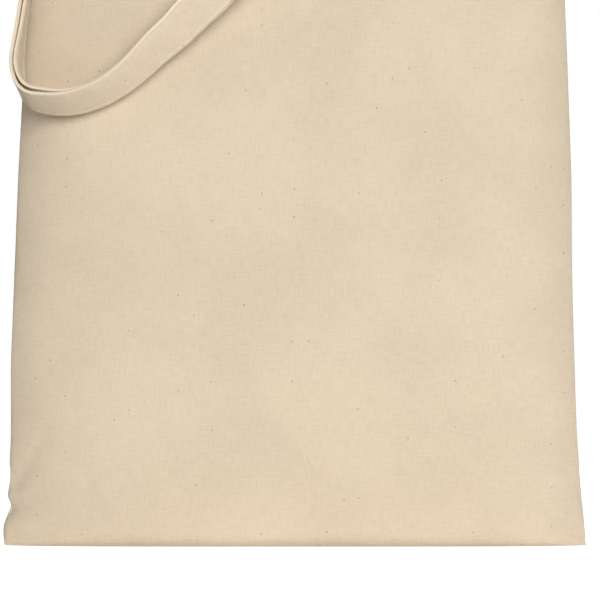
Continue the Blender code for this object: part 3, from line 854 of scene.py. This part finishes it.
FRONT_RIGHT_ROUTE = [
    ((HANDLE_X, -SEWN_Y, MOUTH - SEWN_DEPTH), (-1.00, 0.00, 0.00)),
    ((HANDLE_X, -SEWN_Y, TURN_Z), (-1.00, 0.00, -0.05)),
    ((0.062, -0.0205, 0.4030), (-0.96, 0.00, -0.25)),
    ((0.053, -0.0210, 0.4100), (-0.85, 0.45, -0.20)),
]
BACK_LEFT_ROUTE = [
    ((-HANDLE_X, SEWN_Y, MOUTH - SEWN_DEPTH), (1.00, 0.00, 0.00)),
    ((-HANDLE_X, SEWN_Y, TURN_Z), (1.00, 0.00, 0.00)),
    ((-0.070, 0.0175, 0.4060), (0.92, -0.30, 0.20)),
    ((-0.086, 0.0060, 0.4170), (0.60, -0.78, 0.15)),
    ((-0.112, -0.0135, 0.4215), (0.25, -0.97, 0.00)),
]
BACK_RIGHT_ROUTE = [
    ((HANDLE_X, SEWN_Y, MOUTH - SEWN_DEPTH), (-1.00, 0.00, 0.00)),
    ((HANDLE_X, SEWN_Y, TURN_Z), (-1.00, 0.00, 0.00)),
    ((0.066, 0.0170, 0.4080), (-1.00, 0.00, 0.00)),
    ((0.062, 0.0050, 0.4165), (-0.95, 0.25, 0.00)),
    ((0.053, -0.0110, 0.4190), (-0.80, 0.60, 0.00)),
]
LEFT_CUT_X = -0.1655         # the left end of each strap hands over to its loop here
RIGHT_CUT_X = -0.024         # and the right end here
STRAP_STEP = 0.0013
LOOP_STEPS, LOOP_SKIP = 6, 3                 # points to each part of the loop's route, and which are kept
MIDDLE_REACH, ACROSS_REACH = 3, 6            # steps of the strap over which its two lines are smoothed
PRESSED, PRESSED_WIDTH = 0.20, 0.0008        # share of the thickness pressed in by a row of thread
STRAP_PUCKER, STRAP_PUCKER_WIDTH = 0.00006, 0.002        # beside the stitches
STRAP_WAVER = 0.00018                        # unevenness of the strap's edges


def smooth_curve(points, steps=24):
    """A smooth curve through every point, with the given number of steps from one to the next."""
    p = np.array(points, float)
    padded = np.vstack([2 * p[0] - p[1], p, 2 * p[-1] - p[-2]])
    t = np.linspace(0.0, 1.0, steps, endpoint=False)[:, None]
    parts = []
    for p0, p1, p2, p3 in zip(padded, padded[1:], padded[2:], padded[3:]):
        parts.append(0.5 * (2 * p1 + (p2 - p0) * t + (2 * p0 - 5 * p1 + 4 * p2 - p3) * t ** 2
                            + (3 * p1 - p0 - 3 * p2 + p3) * t ** 3))
    return np.vstack(parts + [p[-1:]])


def settle(values, reach):
    """Rounds off small kinks along a line of values, with its ends left where they are."""
    offsets = np.arange(-3 * reach, 3 * reach + 1)
    weights = np.exp(-0.5 * (offsets / reach) ** 2)
    weights /= weights.sum()
    padded = np.vstack([2 * values[0] - values[3 * reach:0:-1], values,
                        2 * values[-1] - values[-2:-3 * reach - 2:-1]])
    return np.stack([np.convolve(padded[:, k], weights, mode="valid") for k in range(values.shape[1])], 1)


def turn_frames(middles, acrosses):
    """Along a strap: its middle line, its direction, and the unit vectors across it and out of its face."""
    ahead = unit_rows(np.gradient(middles, axis=0))
    across = unit_rows(acrosses - (acrosses * ahead).sum(1, keepdims=True) * ahead)
    return middles, ahead, across, np.cross(ahead, across)


# How far the front strap lies inside the back one, and how far it is moved across it (negative: the
# other way), by share of the loop's route.
NEST = [(0.00, 0.0038), (0.14, 0.0031), (0.24, 0.0028), (0.29, 0.0028), (0.335, 0.0034), (0.385, 0.0042),
        (0.44, 0.0034), (0.50, 0.0029), (0.60, 0.0027), (0.80, 0.0028), (0.92, 0.0033), (1.00, 0.0038)]
SLIDE = [(0.00, 0.0), (0.24, 0.0), (0.34, 0.0008), (0.43, 0.0002), (0.52, -0.0012),
         (0.80, -0.0014), (0.92, -0.0005), (1.0, 0.0)]


def whole_strap(left, right, nested):
    """Evenly spaced frames along a strap, from its left foot over the loop to its right foot."""
    loop_m = smooth_curve([point for point, across in LOOP_ROUTE], LOOP_STEPS)
    loop_w = smooth_curve([across for point, across in LOOP_ROUTE], LOOP_STEPS)
    loop_m, _, loop_w, face = turn_frames(loop_m, loop_w)
    share = np.linspace(0.0, 1.0, len(loop_m))[:, None]
    if nested:
        loop_m = loop_m - face * curve_through(NEST, share) + loop_w * curve_through(SLIDE, share)
    points = [p for p, w in left] + list(loop_m[::LOOP_SKIP]) + [p for p, w in reversed(right)]
    acrosses = [w for p, w in left] + list(loop_w[::LOOP_SKIP]) + [w for p, w in reversed(right)]
    middles, wides = smooth_curve(points), smooth_curve(acrosses)
    along = lengths_along(middles)
    even = np.arange(0.0, along[-1], STRAP_STEP)
    middles, wides = read_at(even, along, middles), read_at(even, along, wides)
    return turn_frames(settle(middles, MIDDLE_REACH), settle(wides, ACROSS_REACH)), even


def ring_length(profile):
    return np.linalg.norm(np.diff(np.vstack([profile, profile[:1]]), axis=0), axis=1).sum()


def strap_profile():
    """The strap's outline as (across, out), with thread lines pressed in and rounded edges."""
    half, thick = STRAP_WIDTH / 2, STRAP_THICKNESS / 2
    w = half * np.array([-0.93, -0.86, -0.80, -0.77, -0.74, -0.66, -0.4, -0.13,
                         0.13, 0.4, 0.66, 0.74, 0.77, 0.80, 0.86, 0.93])
    press = 1 - PRESSED * np.exp(-((np.abs(w) - (half - STITCH_INSET)) / PRESSED_WIDTH) ** 2)
    face = np.stack([w, thick * press], axis=1)
    edge = [(half * 0.98, thick * 0.85), (half, thick * 0.35), (half * 0.985, 0.0),
            (half, -thick * 0.35), (half * 0.98, -thick * 0.85)]
    far = [(-x, y) for x, y in edge[::-1]]
    return np.vstack([face, edge, face[::-1] * [1, -1], far])


def sweep_strap(name, frames, along, material):
    """A stretch of strap, slightly puckered by its stitches and uneven along its edges."""
    middles, _, across, face = frames
    profile = strap_profile()
    puckers = STRAP_PUCKER * np.sin(2 * np.pi * along / STITCH_PITCH)[:, None]
    from_row = np.abs(profile[:, 0]) - (STRAP_WIDTH / 2 - STITCH_INSET)
    near_row = np.exp(-(from_row / STRAP_PUCKER_WIDTH) ** 2)
    out = profile[None, :, 1] + puckers * near_row[None, :] * np.sign(profile[:, 1])[None, :]
    waver = STRAP_WAVER * np.sin(along * 160 + 2 * np.sin(along * 47))[:, None]
    wide = profile[None, :, 0] + waver
    rings = middles[:, None] + across[:, None] * wide[:, :, None] + face[:, None] * out[:, :, None]
    girth = lengths_along(np.vstack([profile, profile[:1]])) + STRAP_THICKNESS
    places = np.stack(np.meshgrid(along, girth, indexing="ij"), axis=2)
    return add_sweep(name, rings[:, ::-1], places[:, ::-1], material)


def strap_stitches(frames, along, row, first, last):
    """Stitches along one row on both faces, between two places along the strap."""
    middles, ahead, across, face = frames
    stitches = []
    raised = (1 - PRESSED) * STRAP_THICKNESS / 2
    for s in np.arange(np.ceil(first / STITCH_PITCH), np.floor(last / STITCH_PITCH)) * STITCH_PITCH:
        m, t, w, n = (read_at(s, along, values) for values in (middles, ahead, across, face))
        t, n = unit(t), unit(n)
        stitches.append((m + w * row + n * raised, t, n))
        stitches.append((m + w * row - n * raised, t, -n))
    return stitches


def cut(frames, along, first, last):
    """The stretch of a strap from one numbered frame to another."""
    keep = slice(first, last + 1)
    return tuple(part[keep] for part in frames), along[keep]


def add_handle(label, left, right, nested, cloth, cotton):
    """One strap in three pieces: the loop, on the handle's own body, and an end on each side, baked where
    it lies.
    """
    frames, along = whole_strap(left, right, nested)
    middles = frames[0]
    first = int(np.argmax(middles[:, 0] < LEFT_CUT_X))
    last = len(middles) - 1 - int(np.argmax(middles[::-1, 0] < RIGHT_CUT_X))
    body = label + "_handle"
    rows = {"inner": STRAP_WIDTH / 2 - STITCH_INSET, "outer": -(STRAP_WIDTH / 2 - STITCH_INSET)}

    loop = sweep_strap(label + "_handle_strap", *cut(frames, along, first, last), cloth)
    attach(loop, body)
    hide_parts(label + "_handle")
    for key, row in rows.items():
        stitches = strap_stitches(frames, along, row, along[first], along[last])
        piece = add_stitches(label + "_handle_" + key + "_row", stitches, cotton)
        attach(piece, body)
        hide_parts(label + "_handle_" + key + "_stitching")

    for end, low, high in (("left", 0, first), ("right", last, len(middles) - 1)):
        piece = sweep_strap(label + "_strap_" + end + "_end", *cut(frames, along, low, high), cloth)
        stitches = []
        for row in rows.values():
            stitches += strap_stitches(frames, along, row, along[low], along[high])
        thread_piece = add_stitches(label + "_strap_" + end + "_end_rows", stitches, cotton)
        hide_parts(label + "_handle_" + end + "_end")
        for item in (piece, thread_piece):
            bend(item)


def bend(item):
    """Bakes the piece's place into its mesh; nothing bends it here."""
    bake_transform(item)


# ---- Assembly ----
add_camera()
add_area("key", *KEY_LIGHT)
add_area("back_light", *BACK_LIGHT)
add_world()
add_floor()
CANVAS = canvas("canvas", srgb(226, 209, 183), srgb(220, 203, 178))
STRAP_CANVAS = canvas("strap_canvas", srgb(228, 211, 187), srgb(222, 204, 179), shift=0.37,
                      girth=ring_length(strap_profile()), depth=0.5)
COTTON = thread("cotton_thread")

for label, side in (("front", -1), ("back", 1)):
    panel = add_panel(label, side, CANVAS)
    add_hem(label, side, CANVAS)
    add_hem_row(label, side, COTTON)
    for end, x in (("left", -HANDLE_X), ("right", HANDLE_X)):
        add_box_stitch(label + "_" + end, x, side, COTTON)
for label, side in (("left", -1), ("right", 1)):
    add_side_seam(label, side, CANVAS, COTTON)
add_bottom_seam(CANVAS, COTTON)
add_handle("back", BACK_LEFT_ROUTE, BACK_RIGHT_ROUTE, False, STRAP_CANVAS, COTTON)
add_handle("front", FRONT_LEFT_ROUTE, FRONT_RIGHT_ROUTE, True, STRAP_CANVAS, COTTON)
